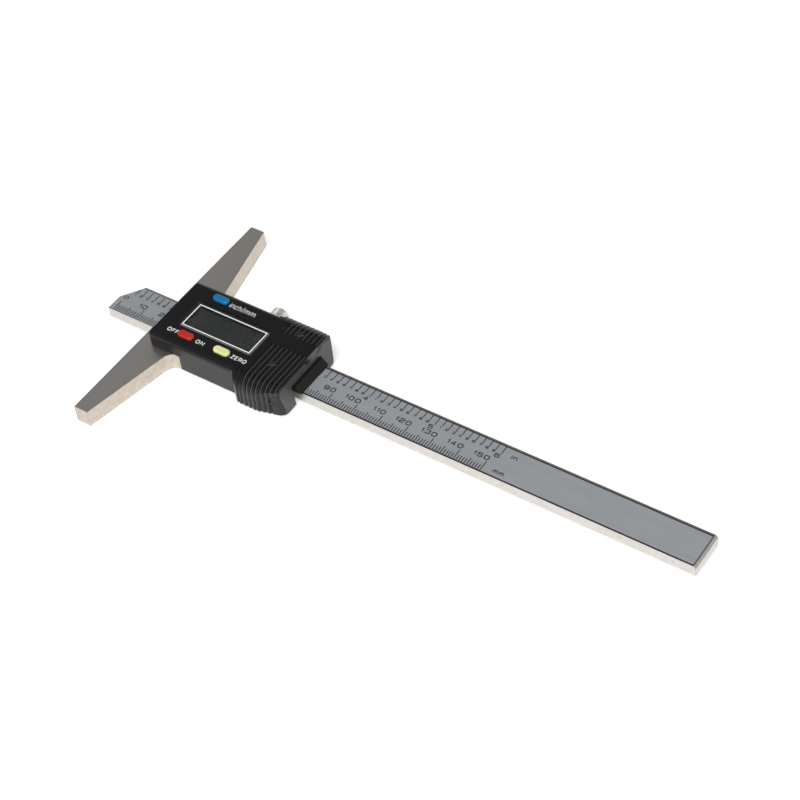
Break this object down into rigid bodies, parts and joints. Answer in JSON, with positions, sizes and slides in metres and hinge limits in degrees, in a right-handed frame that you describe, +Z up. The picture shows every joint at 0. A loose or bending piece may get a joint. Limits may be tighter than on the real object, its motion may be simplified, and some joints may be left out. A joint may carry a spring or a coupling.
{
  "type": "digital depth gauge",
  "caption": "Digital depth gauge: steel rod sliding through a T-shaped measuring base, with a display housing, keys, lock screw and sliding covers.",
  "frame": {"origin": "on the measuring face of the base, at the rod's middle plane, on the surface the gauge lies on", "axes": "+X from the measuring face along the rod towards its tail, +Y across the rod towards the lock screw, +Z up out of the display"},
  "size_m": [0.2296, 0.1, 0.0137],
  "materials": {
    "ground_steel": "satin",
    "spring_bronze": "satin",
    "dark_steel": "satin",
    "brass": "satin",
    "nickel": "polished",
    "bright_steel": "satin",
    "grid_board": "satin",
    "scale_foil": "matt",
    "circuit_board": "gloss",
    "resin_black": "gloss",
    "frame_white": "matt",
    "display_glass": "gloss",
    "elastomer_pink": "matt",
    "clear_window": "gloss",
    "cell_steel": "polished",
    "gold_plate": "polished",
    "housing_black": "satin",
    "wiper_rubber": "matt",
    "button_blue": "satin",
    "button_red": "satin",
    "button_yellow": "satin",
    "cover_black": "satin"
  },
  "bodies": {
    "slider": {"base_frame": "ground_steel", "gib_strip": "spring_bronze", "gib_screws": "dark_steel", "sensor_board": "circuit_board", "measuring_chip": "resin_black", "board_screws": "nickel", "switch_domes": "gold_plate", "display_frame": "frame_white", "display_glass": "display_glass", "contact_strips": "elastomer_pink", "display_window": "clear_window", "button_cell": "cell_steel", "cell_contacts": "gold_plate", "port_contacts": "gold_plate", "front_housing": "housing_black", "housing_screws": "dark_steel", "rod_wiper": "wiper_rubber"},
    "measuring_rod": {"rod": "bright_steel", "grid_strip": "grid_board", "scale_label": "scale_foil"},
    "lock_plug": {"lock_pad": "brass"},
    "lock_knob": {"lock_screw": "nickel"},
    "unit_key": {"unit_button": "button_blue"},
    "power_key": {"power_button": "button_red"},
    "zero_key": {"zero_button": "button_yellow"},
    "battery_door": {"battery_cover": "cover_black"},
    "port_door": {"port_cover": "cover_black"}
  },
  "joints": [
    {"name": "rod_slide", "type": "slide", "parent": "slider", "child": "measuring_rod", "axis": [1, 0, 0], "range_m": [-0.1299, 0.0201]},
    {"name": "lock_travel", "type": "slide", "parent": "slider", "child": "lock_plug", "axis": [0, -1, 0], "range_m": [0, 0.00025]},
    {"name": "lock_turn", "type": "hinge", "parent": "lock_plug", "child": "lock_knob", "pos_m": [0.0338, 0.0185, 0.00425], "axis": [0, -1, 0], "range_deg": [0, 180]},
    {"name": "unit_press", "type": "slide", "parent": "slider", "child": "unit_key", "axis": [0, 0, -1], "range_m": [0, 0.0005], "stiffness_N_per_m": 1500},
    {"name": "power_press", "type": "slide", "parent": "slider", "child": "power_key", "axis": [0, 0, -1], "range_m": [0, 0.0005], "stiffness_N_per_m": 1500},
    {"name": "zero_press", "type": "slide", "parent": "slider", "child": "zero_key", "axis": [0, 0, -1], "range_m": [0, 0.0005], "stiffness_N_per_m": 1500},
    {"name": "battery_cover_slide", "type": "slide", "parent": "slider", "child": "battery_door", "axis": [1, 0, 0], "range_m": [0, 0.0165]},
    {"name": "port_cover_slide", "type": "slide", "parent": "slider", "child": "port_door", "axis": [1, 0, 0], "range_m": [0, 0.0165]}
  ],
  "couplings": [
    {"joint": "lock_turn", "follows": "lock_travel", "rad_per_m": 12566}
  ]
}
